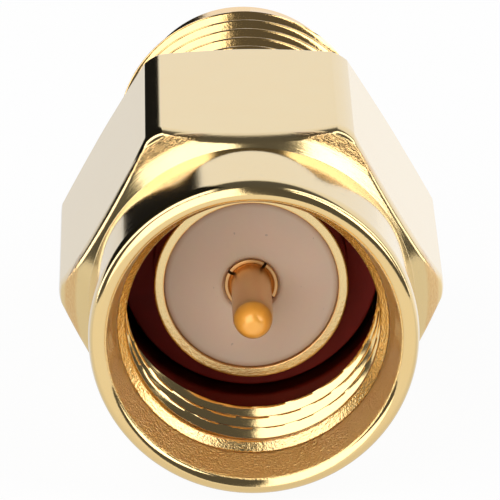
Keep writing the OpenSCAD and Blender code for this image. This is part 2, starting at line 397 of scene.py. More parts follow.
def rounded(corners):
    """Points of a profile of (radius, y, rounding) corners, each rounded one an arc between guards."""
    points = []
    count = len(corners)
    for i, (r, y, rounding) in enumerate(corners):
        if not rounding:
            points.append((r, y))
            continue
        here = Vector((r, y))
        back = Vector(corners[i - 1][:2]) - here
        ahead = Vector(corners[(i + 1) % count][:2]) - here
        half = back.angle(ahead) / 2
        room = min(back.length, ahead.length)
        cut = min(rounding / math.tan(half), ROUND_SHARE * room)
        guard = min(cut + GUARD, GUARD_SHARE * room)
        back.normalize()
        ahead.normalize()
        centre = here + (back + ahead).normalized() * cut / math.cos(half)
        first = here + back * cut - centre
        turn = (here + ahead * cut - centre).angle_signed(first)
        points.append(tuple(here + back * guard))
        for step in range(ROUND_STEPS + 1):
            spoke = first.copy()
            spoke.rotate(Matrix.Rotation(turn * step / ROUND_STEPS, 2))
            points.append(tuple(centre + spoke))
        points.append(tuple(here + ahead * guard))
    return points


def roll(r, y, stages):
    """Points of arcs on from (r, y): each stage is a radius and its first and last tilt to the front."""
    points = []
    for radius, first, last in stages:
        for tilt in np.linspace(first, last, ROUND_STEPS)[1:]:
            points.append((
                r + radius * (math.cos(tilt) - math.cos(first)),
                y - radius * (math.sin(tilt) - math.sin(first)),
            ))
        r, y = points[-1]
    return points


def draw_profile(name, points, closed=True):
    """Start a piece as a chain of vertices through (radius, y) points."""
    deselect()
    bpy.ops.mesh.primitive_plane_add(size=1.0, location=(0.0, 0.0, 0.0))
    piece = bpy.context.active_object
    piece.name = piece.data.name = name
    bpy.ops.object.mode_set(mode="EDIT")
    bpy.ops.mesh.select_mode(type="VERT")
    bpy.ops.mesh.select_all(action="SELECT")
    bpy.ops.mesh.merge(type="CENTER")
    bpy.ops.transform.translate(value=(points[0][0], points[0][1], 0.0))
    chain = list(points) + ([points[0]] if closed else [])
    for (r0, y0), (r1, y1) in zip(chain, chain[1:]):
        step = {"value": (r1 - r0, y1 - y0, 0.0)}
        bpy.ops.mesh.extrude_vertices_move(TRANSFORM_OT_translate=step)
    return piece


def turn_piece(name, points, columns, closed=True, sweep=math.tau, start=0.0):
    """Turn a profile about the axis into a closed piece."""
    piece = draw_profile(name, points, closed)
    bpy.ops.mesh.select_all(action="SELECT")
    bpy.ops.mesh.remove_doubles(threshold=WELD)
    if start:
        bpy.ops.transform.rotate(
            value=start, orient_axis="Y", orient_type="GLOBAL", center_override=(0.0, 0.0, 0.0)
        )
    bpy.ops.mesh.spin(steps=columns, angle=sweep, center=(0.0, 0.0, 0.0), axis=(0.0, 1.0, 0.0))
    bpy.ops.mesh.select_all(action="SELECT")
    bpy.ops.mesh.remove_doubles(threshold=WELD)
    bpy.ops.mesh.fill_holes(sides=0)
    bpy.ops.mesh.normals_make_consistent(inside=False)
    bpy.ops.object.mode_set(mode="OBJECT")
    return piece


def reshape(piece, points, columns, section_at):
    """Move a turned piece's vertices to the angle and points that section_at gives each column."""
    mesh = piece.data
    flat = np.empty(len(mesh.vertices) * 3)
    mesh.vertices.foreach_get("co", flat)
    place = flat.reshape(-1, 3)
    ends = np.column_stack([np.hypot(place[:, 0], place[:, 2]), place[:, 1]])
    turn = np.arctan2(place[:, 2], place[:, 0]) / math.tau
    column = np.rint(turn * columns).astype(int) % columns
    profile = np.array(points)
    row = np.empty(len(place), int)
    for first in range(0, len(place), BATCH):
        span = slice(first, first + BATCH)
        gap = ((ends[span, None] - profile[None]) ** 2).sum(2)
        row[span] = gap.argmin(1)
    for k in range(columns):
        mine = column == k
        angle, section = section_at(k)
        moved = np.array(section)[row[mine]]
        place[mine, 0] = moved[:, 0] * math.cos(angle)
        place[mine, 1] = moved[:, 1]
        place[mine, 2] = moved[:, 0] * math.sin(angle)
    mesh.vertices.foreach_set("co", place.ravel())
    mesh.update()


def soft_clamp(value, width):
    """A ramp from 0 to 1 whose two corners are rounded over a width."""
    low = (value + width) ** 2 / (4 * width)
    high = 1 - (1 + width - value) ** 2 / (4 * width)
    inner = np.where(value < width, low, np.where(value < 1 - width, value, high))
    return np.where(value < -width, 0.0, np.where(value > 1 + width, 1.0, inner))


def ridge(y, angle, pitch, crest, root, soft):
    """Height of a right-hand thread, 0 at its root and 1 at its crest, with soft edges."""
    phase = (np.asarray(y) / pitch + angle / math.tau) % 1.0
    off = np.abs(phase - 0.5) * 2
    return soft_clamp((1 - root - off) / (1 - root - crest), soft)


def finish_piece(piece, material, body, node):
    """Smooth a piece, bring it to metres and tie it to the frame."""
    deselect()
    piece.select_set(True)
    bpy.context.view_layer.objects.active = piece
    piece.data.materials.clear()
    piece.data.materials.append(material)
    bpy.ops.object.shade_smooth_by_angle(angle=CREASE)
    bpy.ops.transform.resize(value=(MM, MM, MM), center_override=(0.0, 0.0, 0.0))
    bpy.ops.object.transform_apply(location=True, rotation=True, scale=True)
    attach(piece, body)
    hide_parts(node)
    deselect()


# Shader sheets


class Wire:
    """A shader socket that takes part in arithmetic."""

    def __init__(self, sheet, socket):
        self.sheet = sheet
        self.socket = socket

    def math(self, operation, *values):
        """A Math node on the values given."""
        return self.sheet.add("ShaderNodeMath", {"operation": operation}, dict(enumerate(values)))

    def __add__(self, other):
        return self.math("ADD", self, other)

    def __sub__(self, other):
        return self.math("SUBTRACT", self, other)

    def __mul__(self, other):
        return self.math("MULTIPLY", self, other)

    def __truediv__(self, other):
        return self.math("DIVIDE", self, other)

    def __rsub__(self, other):
        return self.math("SUBTRACT", other, self)

    def __rtruediv__(self, other):
        return self.math("DIVIDE", other, self)

    __radd__ = __add__
    __rmul__ = __mul__


class Sheet:
    """One node tree and the ways to add to it."""

    def __init__(self, tree):
        self.tree = tree
        tree.nodes.clear()

    def add(self, kind, settings=None, sockets=None, out=0):
        """A node of a kind, its settings set first and its sockets then filled or linked."""
        node = self.tree.nodes.new(kind)
        for key, value in (settings or {}).items():
            setattr(node, key, value)
        for key, value in (sockets or {}).items():
            socket = node.inputs[key]
            if isinstance(value, Wire):
                self.tree.links.new(value.socket, socket)
            else:
                socket.default_value = value
        return Wire(self, node.outputs[out]) if node.outputs else None

    def blend(self, factor, first, second):
        """Mix of two colours."""
        return self.add(
            "ShaderNodeMix", {"data_type": "RGBA"}, {0: factor, 6: first, 7: second}, out=2
        )

    def span(self, value, low, high, start=0.0, end=1.0):
        """Smooth step of a value from start to end between low and high."""
        return self.add(
            "ShaderNodeMapRange", {"interpolation_type": "SMOOTHSTEP"},
            {0: value, 1: low, 2: high, 3: start, 4: end},
        )

    def window(self, value, low, high, soft):
        """1 between low and high, fading over a soft edge."""
        rise = self.span(value, low - soft, low + soft)
        return rise * self.span(value, high - soft, high + soft, 1.0, 0.0)

    def split(self, vector):
        """The three numbers of a vector."""
        first = self.add("ShaderNodeSeparateXYZ", None, {0: vector})
        return [Wire(self, socket) for socket in first.socket.node.outputs]

    def join(self, x, y, z):
        """A vector of three numbers."""
        return self.add("ShaderNodeCombineXYZ", None, {0: x, 1: y, 2: z})

    def noise(self, vector, scale=1.0, detail=3.0, roughness=0.5):
        """Noise from 0 to 1 over a vector."""
        return self.add(
            "ShaderNodeTexNoise", None,
            {"Vector": vector, "Scale": scale, "Detail": detail, "Roughness": roughness},
        )

    def streaks(self, x, y, z, across, along, detail=3.0, roughness=0.6):
        """Noise with its own counts across the axis and along it."""
        stretched = self.join(x * across, y * along, z * across)
        return self.noise(stretched, detail=detail, roughness=roughness)

    def point(self):
        """The point in mm."""
        place = self.add("ShaderNodeTexCoord", out="Object")
        return self.add(
            "ShaderNodeVectorMath", {"operation": "SCALE"}, {0: place, "Scale": 1 / MM}
        )

    def axes(self, point):
        """The three numbers of a point and its distance from the axis."""
        x, y, z = self.split(point)
        across = x * x + z * z
        return x, y, z, across.math("SQRT", across)

    def ray(self, kind):
        """1 for rays of a kind."""
        return self.add("ShaderNodeLightPath", out=kind)

    def surface(self, sockets):
        """Principled surface to the output."""
        shader = self.add("ShaderNodeBsdfPrincipled", None, sockets)
        self.add("ShaderNodeOutputMaterial", None, {"Surface": shader})

    def bump(self, height, distance=1.0):
        """Normal from a height that counts in units of a distance, in mm."""
        return self.add("ShaderNodeBump", None, {"Height": height, "Distance": distance * MM})


def new_material(name):
    """An empty node material and its sheet."""
    material = bpy.data.materials.new(name)
    material.use_nodes = True
    return material, Sheet(material.node_tree)


def solid(value):
    """A colour with full alpha."""
    return (*value, 1.0)


# Finishes

# Zones of the nut, in mm: depths under the collar where the inside ends and the outside starts,
# ends of the chattered cone from the collar's end, start of the mouth, and half the soft edges
NUT_ZONES = SimpleNamespace(
    inside=0.1, outside=0.06, cone_front=-0.02, cone_rear=0.62, cone_edge=0.05, mouth=0.1, mouth_edge=0.03
)
# Direction up the cone: a share of both the radius and y
UP_CONE = 0.7071
# Shares of the marks that the cone's inner part and the mouth's lead have
INNER_CONE = 0.06
LEAD = 0.2
# Heights of the nut's tool marks, in mm
NUT_MARKS = SimpleNamespace(
    lines=0.0006, inner_lines=0.0016, chatter=0.0012, outer_chatter=0.004, dots=0.008,
    grain=0.0007, mouth_grain=0.06,
)
# Shares of the other tones in the nut's gold, the outer cone's share being painted shade, and the
# roughness that wear and its zones add
NUT_TONES = SimpleNamespace(wear=0.4, outer_cone=0.5, inside=0.4, tarnish=0.3)
NUT_ROUGH = SimpleNamespace(wear=0.05, mouth=0.3, cone=0.05)
# Levels of noise where a speck starts and is full
TARNISH_SPECK = (0.64, 0.74)
PTFE_SPECK = (0.78, 0.82)

# Zones of the body: the fade behind the ferrule's face, in mm, and the squared distances
# from the middle of its wall where the painted shade of its edges starts and is full
BODY_ZONES = SimpleNamespace(ferrule=0.1, ferrule_end=0.3, edge_shade=0.003, edge_shade_full=0.012)
# Heights of the body's tool marks in mm, shares of its other tones and the roughness that is added
BODY_MARKS = SimpleNamespace(lines=0.001, grain=0.0006, ferrule_grain=0.008, barrel_grain=0.0022)
BODY_TONES = SimpleNamespace(wear=0.6, barrel=0.3, barrel_grain=0.6, edge_shade=0.8)
BODY_ROUGH = SimpleNamespace(wear=0.06, ferrule=0.12)

# Zones of the pins and the contact, in mm: the tip's fade, the socket's wall round the pin and its fade
PIN_ZONES = SimpleNamespace(
    tip=0.4, tip_end=0.55, wall=0.02, wall_full=0.06, socket=0.5, socket_end=1.0
)
# Shares of the tip's gold: its base, and what wear adds
TIP_TONES = SimpleNamespace(base=0.9, wear=0.2)
# Width of the insulators' edges that carry painted shade and painted gold reflection, and how deep red,
# green and blue light goes in, in mm
PTFE_EDGE = 0.16
PTFE_DEPTHS = (0.5, 0.3, 0.2)
# Shares of the other tones in the insulators, the gasket and the ring
PTFE_TONES = SimpleNamespace(cloud=0.25, edge=0.7, speck=0.5)
RUBBER_CLOUD = 0.4
STEEL_WEAR = 0.5
# Roughness that wear, clouds and grain add, and depth of the fine marks in mm
ADDED_ROUGH = SimpleNamespace(pin=0.1, ptfe=0.1, rubber=0.15, steel=0.15)
FINE_MARKS = SimpleNamespace(pin=0.003, ptfe=0.002, rubber=0.004, steel=0.003)


def nut_zones(sheet, nut, y, radius):
    """Masks of the nut's outside, its front cone, that cone's outer part and the rough mouth."""
    zones = NUT_ZONES
    outside = sheet.span(radius, nut.collar - zones.inside, nut.collar - zones.outside)
    collar_end = NUT_FRONT + nut.collar_len
    cone = outside * sheet.window(
        y, collar_end + zones.cone_front, collar_end + zones.cone_rear, zones.cone_edge
    )
    outer_cone = cone * sheet.span(
        radius, nut.cone_mid - zones.cone_edge, nut.cone_mid + zones.cone_edge, INNER_CONE, 1.0
    )
    end = mouth_end(nut)
    lead = end - nut.mouth_lead
    before_lead = sheet.span(y, lead - zones.mouth_edge, lead + zones.mouth_edge, 1.0, LEAD)
    mouth = sheet.window(y, NUT_FRONT + zones.mouth, end, zones.mouth_edge)
    return outside, cone, outer_cone, (1.0 - outside) * mouth * before_lead


def gold_nut_material(finish, nut):
    """Flash gold: polished flats, a chattered front cone browned with painted shade on its outer part, a
    grainy mouth brightened with painted light and fine turning lines.
    """
    material, sheet = new_material("flash_gold_nut")
    point = sheet.point()
    x, y, z, radius = sheet.axes(point)
    outside, cone, outer_cone, mouth = nut_zones(sheet, nut, y, radius)
    inside = 1.0 - outside
    around_x = x / radius
    around_z = z / radius
    up_cone = (radius + y) * UP_CONE
    chatter = sheet.streaks(around_x, up_cone, around_z, across=12.0, along=34.0, detail=2.0)
    dots = sheet.streaks(
        around_x, up_cone, around_z, across=50.0, along=20.0, detail=1.0, roughness=0.5
    )
    lines = sheet.streaks(around_x, y, around_z, across=1.5, along=30.0)
    grain = sheet.noise(point, scale=15.0, detail=2.0, roughness=0.6)
    wear = sheet.noise(point, scale=1.3)
    speck = outside * sheet.span(sheet.noise(point, scale=6.0, roughness=0.7), *TARNISH_SPECK)
    height = (
        lines * (NUT_MARKS.lines + inside * NUT_MARKS.inner_lines)
        + cone * chatter * NUT_MARKS.chatter
        + outer_cone * (chatter * NUT_MARKS.outer_chatter + dots * NUT_MARKS.dots)
        + grain * (NUT_MARKS.grain + mouth * NUT_MARKS.mouth_grain)
    )
    # The outer cone's warm share and its brown dots are painted shade, the dark seam between the soft
    # lights that this cone mirrors
    warm = wear * NUT_TONES.wear + outer_cone * NUT_TONES.outer_cone + inside * NUT_TONES.inside
    tone = sheet.blend(warm, solid(finish.gold), solid(finish.gold_warm))
    tone = sheet.blend(outer_cone * dots, tone, solid(finish.painted_shade_gold))
    tone = sheet.blend(speck * NUT_TONES.tarnish, tone, solid(finish.tarnish))
    added = wear * NUT_ROUGH.wear + mouth * NUT_ROUGH.mouth + cone * NUT_ROUGH.cone
    sheet.surface({
        # The mouth takes the brighter gold as painted light
        "Base Color": sheet.blend(mouth, tone, solid(finish.mouth_lit_gold)),
        "Metallic": 1.0,
        "Roughness": finish.gold_rough + added,
        "Coat Weight": finish.gold_coat,
        "Normal": sheet.bump(height),
    })
    return material


def gold_body_material(finish, body):
    """Flash gold of the body: a grainy ferrule whose edges are browned as painted shade, a browner thread
    and turning lines.
    """
    material, sheet = new_material("flash_gold_body")
    point = sheet.point()
    x, y, z, radius = sheet.axes(point)
    lines = sheet.streaks(x / radius, y, z / radius, across=1.5, along=26.0)
    grain = sheet.noise(point, scale=12.0, roughness=0.6)
    wear = sheet.noise(point, scale=1.1)
    zones = BODY_ZONES
    ferrule = sheet.span(y, BODY_FRONT + zones.ferrule, BODY_FRONT + zones.ferrule_end, 1.0, 0.0)
    # Both edges of the ferrule's face turn to a brown gold: painted shade of the gaps beside them
    off_middle = radius - (BEAD_R + body.ferrule) / 2
    edge_shade = ferrule * sheet.span(off_middle * off_middle, zones.edge_shade, zones.edge_shade_full)
    shoulder_end = body.shoulder_y + body.shoulder_t
    barrel = sheet.span(y, shoulder_end, shoulder_end + body.runout_w)
    grain_height = (
        BODY_MARKS.grain + ferrule * BODY_MARKS.ferrule_grain + barrel * BODY_MARKS.barrel_grain
    )
    brown = barrel * (BODY_TONES.barrel + grain * BODY_TONES.barrel_grain)
    tone = sheet.blend(wear * BODY_TONES.wear, solid(finish.gold), solid(finish.gold_warm))
    tone = sheet.blend(brown, tone, solid(finish.thread_gold))
    sheet.surface({
        "Base Color": sheet.blend(edge_shade * BODY_TONES.edge_shade, tone, solid(finish.painted_shade_gold)),
        "Metallic": 1.0,
        "Roughness": finish.gold_rough + wear * BODY_ROUGH.wear + ferrule * BODY_ROUGH.ferrule,
        "Coat Weight": finish.gold_coat,
        "Normal": sheet.bump(lines * BODY_MARKS.lines + grain * grain_height),
    })
    return material


def pin_gold_material(finish):
    """Hard gold of the pins and the contact, with glossy orange tips whose orange is partly painted
    reflection, and a browner socket end painted as shade.
    """
    material, sheet = new_material("hard_gold")
    point = sheet.point()
    x, y, z, radius = sheet.axes(point)
    lines = sheet.streaks(x, y, z, across=0.8, along=24.0)
    wear = sheet.noise(point, scale=2.5)
    zones = PIN_ZONES
    plug_tip = sheet.span(y, PIN_TIP + zones.tip, PIN_TIP + zones.tip_end, 1.0, 0.0)
    jack_tip = sheet.span(y, CONTACT_TIP - zones.tip_end, CONTACT_TIP - zones.tip)
    tip = plug_tip + jack_tip
    wall = sheet.span(radius, PIN_R + zones.wall, PIN_R + zones.wall_full)
    # The contact's front end darkens to a browner gold as painted shade
    front = sheet.span(y, CONTACT_FRONT + zones.socket, CONTACT_FRONT + zones.socket_end, 1.0, 0.0)
    shaft = sheet.blend(wall * front, solid(finish.shaft_gold), solid(finish.socket_shade_gold))
    # The tip's orange is partly painted reflection
    orange = tip * (TIP_TONES.base + wear * TIP_TONES.wear)
    sheet.surface({
        "Base Color": sheet.blend(orange, shaft, solid(finish.tip_gold_and_reflection)),
        "Metallic": 1.0 - tip * (1.0 - finish.tip_metal),
        "Roughness": finish.pin_rough + wear * ADDED_ROUGH.pin,
        "Coat Weight": tip * finish.tip_coat,
        "Coat Roughness": finish.tip_coat_rough,
        "Normal": sheet.bump(lines, FINE_MARKS.pin),
    })
    return material


def ptfe_material(finish, core):
    """Waxy PTFE with small specks, its white painted a warm tan as reflected gold and its edges painted
    with shade and gold reflection.
    """
    material, sheet = new_material("ptfe")
    point = sheet.point()
    radius = sheet.axes(point)[-1]
    cloud = sheet.noise(point, scale=1.4)
    grain = sheet.noise(point, scale=30.0, detail=2.0)
    speck = sheet.span(sheet.noise(point, scale=7.0, detail=1.0, roughness=0.4), *PTFE_SPECK)
    outer = sheet.span(radius, BEAD_R - PTFE_EDGE, BEAD_R)
    inner = sheet.span(radius, core.contact + PTFE_EDGE, core.contact)
    # The tan base and its paler clouds both carry that painted gold reflection
    tone = sheet.blend(cloud * PTFE_TONES.cloud, solid(finish.ptfe), solid(finish.ptfe_pale))
    # Both edges take painted shade and painted gold reflection
    tone = sheet.blend((outer + inner) * PTFE_TONES.edge, tone, solid(finish.ptfe_edge_painted_shade))
    sheet.surface({
        "Base Color": sheet.blend(speck * PTFE_TONES.speck, tone, solid(finish.ptfe_speck)),
        "Roughness": finish.ptfe_rough + cloud * ADDED_ROUGH.ptfe,
        "Subsurface Weight": finish.ptfe_glow,
        "Subsurface Radius": [depth * MM for depth in PTFE_DEPTHS],
        "Subsurface Scale": 1.0,
        "Normal": sheet.bump(grain, FINE_MARKS.ptfe),
    })
    return material


def rubber_material(finish):
    """Dark red silicone rubber."""
    material, sheet = new_material("red_silicone")
    point = sheet.point()
    cloud = sheet.noise(point, scale=2.0)
    grain = sheet.noise(point, scale=18.0)
    sheet.surface({
        "Base Color": sheet.blend(
            cloud * RUBBER_CLOUD, solid(finish.rubber), solid(finish.rubber_dark)
        ),
        "Roughness": finish.rubber_rough + grain * ADDED_ROUGH.rubber,
        "Specular IOR Level": finish.rubber_gloss,
        "Normal": sheet.bump(grain, FINE_MARKS.rubber),
    })
    return material


def steel_material(finish):
    """Drawn spring steel."""
    material, sheet = new_material("spring_steel")
    point = sheet.point()
    lines = sheet.streaks(*sheet.split(point), across=0.8, along=24.0)
    wear = sheet.noise(point, scale=2.0)
    sheet.surface({
        "Base Color": sheet.blend(wear * STEEL_WEAR, solid(finish.steel), solid(finish.steel_dark)),
        "Metallic": 1.0,
        "Roughness": finish.steel_rough + wear * ADDED_ROUGH.steel,
        "Normal": sheet.bump(lines, FINE_MARKS.steel),
    })
    return material


# Pieces


def hexagon(nut):
    """Angle and radius of each column, for a hexagon with a flat on top and rolled corners."""
    sixth = math.tau / SIDES
    half_side = NUT_FLAT * math.tan(sixth / 2)
    bend = []
    for turn in np.linspace(0.0, sixth / 2, CORNER_STEPS):
        first, rest = min(turn, CORNER_TURN), max(turn, CORNER_TURN)
        along = nut.corner_soft * math.sin(first)
        along += nut.corner * (math.sin(rest) - math.sin(CORNER_TURN))
        fall = nut.corner_soft * (1 - math.cos(first))
        fall += nut.corner * (math.cos(CORNER_TURN) - math.cos(rest))
        bend.append((along, fall))
    reach_in = bend[-1][0] + bend[-1][1] / math.tan(sixth)
    half = []
    for along, fall in bend:
        spot = Vector((NUT_FLAT - fall, half_side - reach_in + along))
        half.append((sixth / 2 - math.atan2(spot.y, spot.x), spot.length))
    side = [(-off, radius) for off, radius in half] + half[-2::-1]
    inset = half[0][0] + GUARD / NUT_FLAT
    for angle in np.linspace(inset, sixth - inset, nut.columns // SIDES - len(side)):
        side.append((angle, NUT_FLAT / math.cos(sixth / 2 - angle)))
    return [(k * sixth + angle, radius) for k in range(SIDES) for angle, radius in side]


def lip_profile(nut, flare):
    """Points of the lip, from the collar over the front face into the flared mouth."""
    face = math.pi / 2
    inward = math.pi - math.atan(flare)
    start = NUT_FRONT + nut.lip_soft * math.sin(LIP_TURN) + nut.lip_out * (1 - math.sin(LIP_TURN))
    stages = (nut.lip_soft, 0.0, LIP_TURN), (nut.lip_out, LIP_TURN, face)
    outer = roll(nut.collar, start, stages)
    sunk = nut.lip_in * (1 - math.cos(inward - face))
    edge = nut.collar - nut.lip - sunk * flare + nut.lip_in * math.sin(inward - face)
    inner = roll(edge, NUT_FRONT, ((nut.lip_in, face, inward),))
    return [(nut.collar, start + GUARD), (nut.collar, start), *outer, (edge, NUT_FRONT), *inner]


def cone_trace(nut):
    """Radius, slope and y of fine steps up the front cone."""
    radii = np.linspace(nut.collar, NUT_CORNER, CONE_STEPS)
    outer_share = np.clip((radii - nut.cone_mid) / CONE_TURN + 0.5, 0.0, 1.0)
    slopes = nut.cone_slope + (nut.cone_out - nut.cone_slope) * outer_share
    run = np.diff(radii) / np.tan(slopes[1:])
    return radii, slopes, NUT_FRONT + nut.collar_len + np.concatenate([[0.0], np.cumsum(run)])


def brow_profile(nut, trace, hex_r):
    """Points of the front cone and of its two-stage roll into a flat at a radius."""
    radii, slopes, places = trace
    soft_top = hex_r - nut.brow_soft * (1 - math.cos(BROW_TURN))
    top = soft_top
    for _ in range(CONE_PASSES):
        steep = np.interp(top, radii, slopes)
        top = soft_top - nut.brow * (math.cos(BROW_TURN) - math.cos(steep))
    points = []
    for r in np.linspace(nut.collar + GUARD, top, CONE_ROWS):
        points.append((r, float(np.interp(r, radii, places))))
    points += roll(*points[-1], ((nut.brow, steep, BROW_TURN), (nut.brow_soft, BROW_TURN, 0.0)))
    return points + [(hex_r, points[-1][1] + GUARD)]


class MESH_OT_adapter_nut(bpy.types.Operator):
    """Turn, mill and thread the coupling nut"""

    bl_idname = "mesh.adapter_nut"
    bl_label = "Coupling nut"

    def execute(self, context):
        nut = sizes(context.scene.adapter_nut)
        pitch = sizes(context.scene.adapter_body).pitch
        outline = hexagon(nut)
        trace = cone_trace(nut)
        mouth = nut.collar - nut.lip
        crest_y = mouth_end(nut)
        flare = (mouth - nut.thread - nut.mouth_lead) / (crest_y - NUT_FRONT - nut.mouth_lead)
        lip = lip_profile(nut, flare)
        rear_in = NUT_FLAT - nut.rear_inset
        groove_front, groove_rear = ring_room(nut)
        thread_end = NUT_FRONT + nut.thread_len
        root = nut.thread + nut.thread_depth
        thread_start = NUT_FRONT + (mouth - root) / flare
        turns = (thread_end - thread_start) / pitch
        rows = np.linspace(thread_end, thread_start, int(turns * ROWS_PER_TURN))
        depth = nut.thread_depth * np.clip((rows - crest_y) / nut.thread_lead, 0.0, 1.0)
        cone = np.minimum(mouth - (rows - NUT_FRONT) * flare, nut.thread + crest_y - rows)

        def section(angle, hex_r):
            """Profile at an angle where the hexagon has a radius."""
            rear_y = NUT_REAR - (hex_r - rear_in) / math.tan(nut.rear_slope)
            points = rounded([
                *((r, y, 0.0) for r, y in reversed(lip)),
                (nut.collar, NUT_FRONT + nut.collar_len, SOFT),
                *((r, y, 0.0) for r, y in brow_profile(nut, trace, hex_r)),
                (hex_r, rear_y, WIDE),
                (rear_in, NUT_REAR, SOFT),
                (nut.bore + nut.bore_edge, NUT_REAR, FINE),
                (nut.bore, NUT_REAR - nut.bore_edge, FINE),
                (nut.bore, groove_rear, FINE),
                (nut.groove, groove_rear, FINE),
                (nut.groove, groove_front, FINE),
                (nut.bore, groove_front, FINE),
                (nut.bore, thread_end, FINE),
                (nut.thread, thread_end, 0.0),
                (mouth - flare * MOUTH_ROW, NUT_FRONT + MOUTH_ROW, 0.0),
            ])
            groove = depth * (1 - ridge(rows, angle, pitch, *NUT_RIDGE))
            bore = np.maximum(nut.thread + groove, cone)
            # The rows of the thread take the place of its plain end
            return points[:-2] + list(zip(bore, rows)) + points[-1:]

        blank = section(*outline[0])
        piece = turn_piece("coupling_nut_gold", blank, nut.columns)
        reshape(piece, blank, nut.columns, lambda k: (outline[k][0], section(*outline[k])))
        material = gold_nut_material(context.scene.adapter_finish, nut)
        finish_piece(piece, material, "nut", "coupling_nut")
        return {"FINISHED"}


class MESH_OT_adapter_body(bpy.types.Operator):
    """Turn and thread the body"""

    bl_idname = "mesh.adapter_body"
    bl_label = "Body"

    def execute(self, context):
        body = sizes(context.scene.adapter_body)
        shoulder_end = body.shoulder_y + body.shoulder_t
        barrel = shoulder_end + body.runout_w
        groove_front, groove_rear = ring_room(sizes(context.scene.adapter_nut))
        thread_end = barrel + body.thread_len
        root = body.thread - body.thread_depth
        rows = np.linspace(barrel, thread_end, int(body.thread_len / body.pitch * ROWS_PER_TURN))
        lead_in = body.thread - body.thread_edge + rows - barrel
        limit = np.minimum(lead_in, body.pilot + thread_end - rows)

        def section(angle):
            """Profile at an angle."""
            points = rounded([
                (BEAD_R, BODY_FRONT, EASED),
                (body.ferrule, BODY_FRONT, ROUND),
                (body.ferrule, GASKET_FRONT, 0.0),
                (body.seat, GASKET_END, 0.0),
                (body.neck - body.neck_lead, GASKET_END, EASED),
                (body.neck, GASKET_END + body.neck_lead, EASED),
                (body.neck, groove_front, FINE),
                (body.neck_groove, groove_front, FINE),
                (body.neck_groove, groove_rear, FINE),
                (body.neck, groove_rear, FINE),
                (body.neck, body.shoulder_y, FINE),
                (SHOULDER_R - body.edge, body.shoulder_y, EASED),
                (SHOULDER_R, body.shoulder_y + body.edge, EASED),
                (SHOULDER_R, shoulder_end - body.edge, EASED),
                (SHOULDER_R - body.edge, shoulder_end, EASED),
                (body.runout, shoulder_end, FULL),
                (body.runout, barrel, EASED),
                (root, barrel, 0.0),
                (root, thread_end, 0.0),
                (body.pilot, BODY_END - body.pilot_edge, ROUND),
                (body.pilot - body.pilot_edge, BODY_END, EASED),
                (body.jack_bore + body.jack_mouth, BODY_END, EASED),
                (body.jack_bore, BODY_END - body.jack_mouth, EASED),
                (body.jack_bore, JACK_PLANE, EASED),
                (BEAD_R, JACK_PLANE, FINE),
            ])
            first, last = (i for i, point in enumerate(points) if point[0] == root)
            height = body.thread_depth * ridge(rows, angle, body.pitch, *JACK_RIDGE)
            thread = np.minimum(root + height, limit)
            return points[:first] + list(zip(thread, rows)) + points[last + 1 :]

        blank = section(0.0)
        piece = turn_piece("adapter_body_gold", blank, body.columns)
        step = math.tau / body.columns
        reshape(piece, blank, body.columns, lambda column: (column * step, section(column * step)))
        material = gold_body_material(context.scene.adapter_finish, body)
        finish_piece(piece, material, "body", "adapter_body")
        return {"FINISHED"}


class MESH_OT_adapter_seal(bpy.types.Operator):
    """Turn the gasket and bend the retaining ring"""

    bl_idname = "mesh.adapter_seal"
    bl_label = "Gasket and ring"

    def execute(self, context):
        body = sizes(context.scene.adapter_body)
        core = sizes(context.scene.adapter_core)
        finish = context.scene.adapter_finish
        section = rounded([
            (body.ferrule, GASKET_FRONT, body.gasket_edge / 2),
            (GASKET_R, GASKET_FRONT, body.gasket_edge),
            (GASKET_R, GASKET_END, body.gasket_edge),
            (body.seat, GASKET_END, body.gasket_edge / 2),
        ])
        gasket = turn_piece("gasket_silicone", section, body.columns)
        finish_piece(gasket, rubber_material(finish), "body", "gasket")
        inner = RING_R - core.ring_w
        wire = rounded([
            (inner, RING_FRONT, FULL),
            (RING_R, RING_FRONT, FULL),
            (RING_R, RING_END, FULL),
            (inner, RING_END, FULL),
        ])
        gap = 2 * math.asin(core.ring_gap / 2 / RING_R)
        first = math.pi / 2 - gap / 2
        ring = turn_piece(
            "retaining_ring_steel", wire, core.columns, sweep=math.tau - gap, start=first
        )
        finish_piece(ring, steel_material(finish), "body", "retaining_ring")
        return {"FINISHED"}


class MESH_OT_adapter_beads(bpy.types.Operator):
    """Turn the two insulators"""

    bl_idname = "mesh.adapter_beads"
    bl_label = "Insulators"

    def execute(self, context):
        core = sizes(context.scene.adapter_core)
        material = ptfe_material(context.scene.adapter_finish, core)
        half = core.contact_collar / 2
        for node, end in (("plug_insulator", BEAD_FRONT), ("jack_insulator", JACK_PLANE)):
            way = math.copysign(1.0, end - BEAD_JOINT)
            section = rounded([
                (core.contact + core.bead_edge, end, FINE),
                (BEAD_R, end, SOFT),
                (BEAD_R, BEAD_JOINT, EASED),
                (CONTACT_COLLAR_R, BEAD_JOINT, 0.0),
                (CONTACT_COLLAR_R, BEAD_JOINT + way * half, 0.0),
                (core.contact, BEAD_JOINT + way * half, 0.0),
                (core.contact, end - way * core.bead_edge, FINE),
            ])
            piece = turn_piece(node + "_ptfe", section, core.columns)
            finish_piece(piece, material, "body", node)
        return {"FINISHED"}


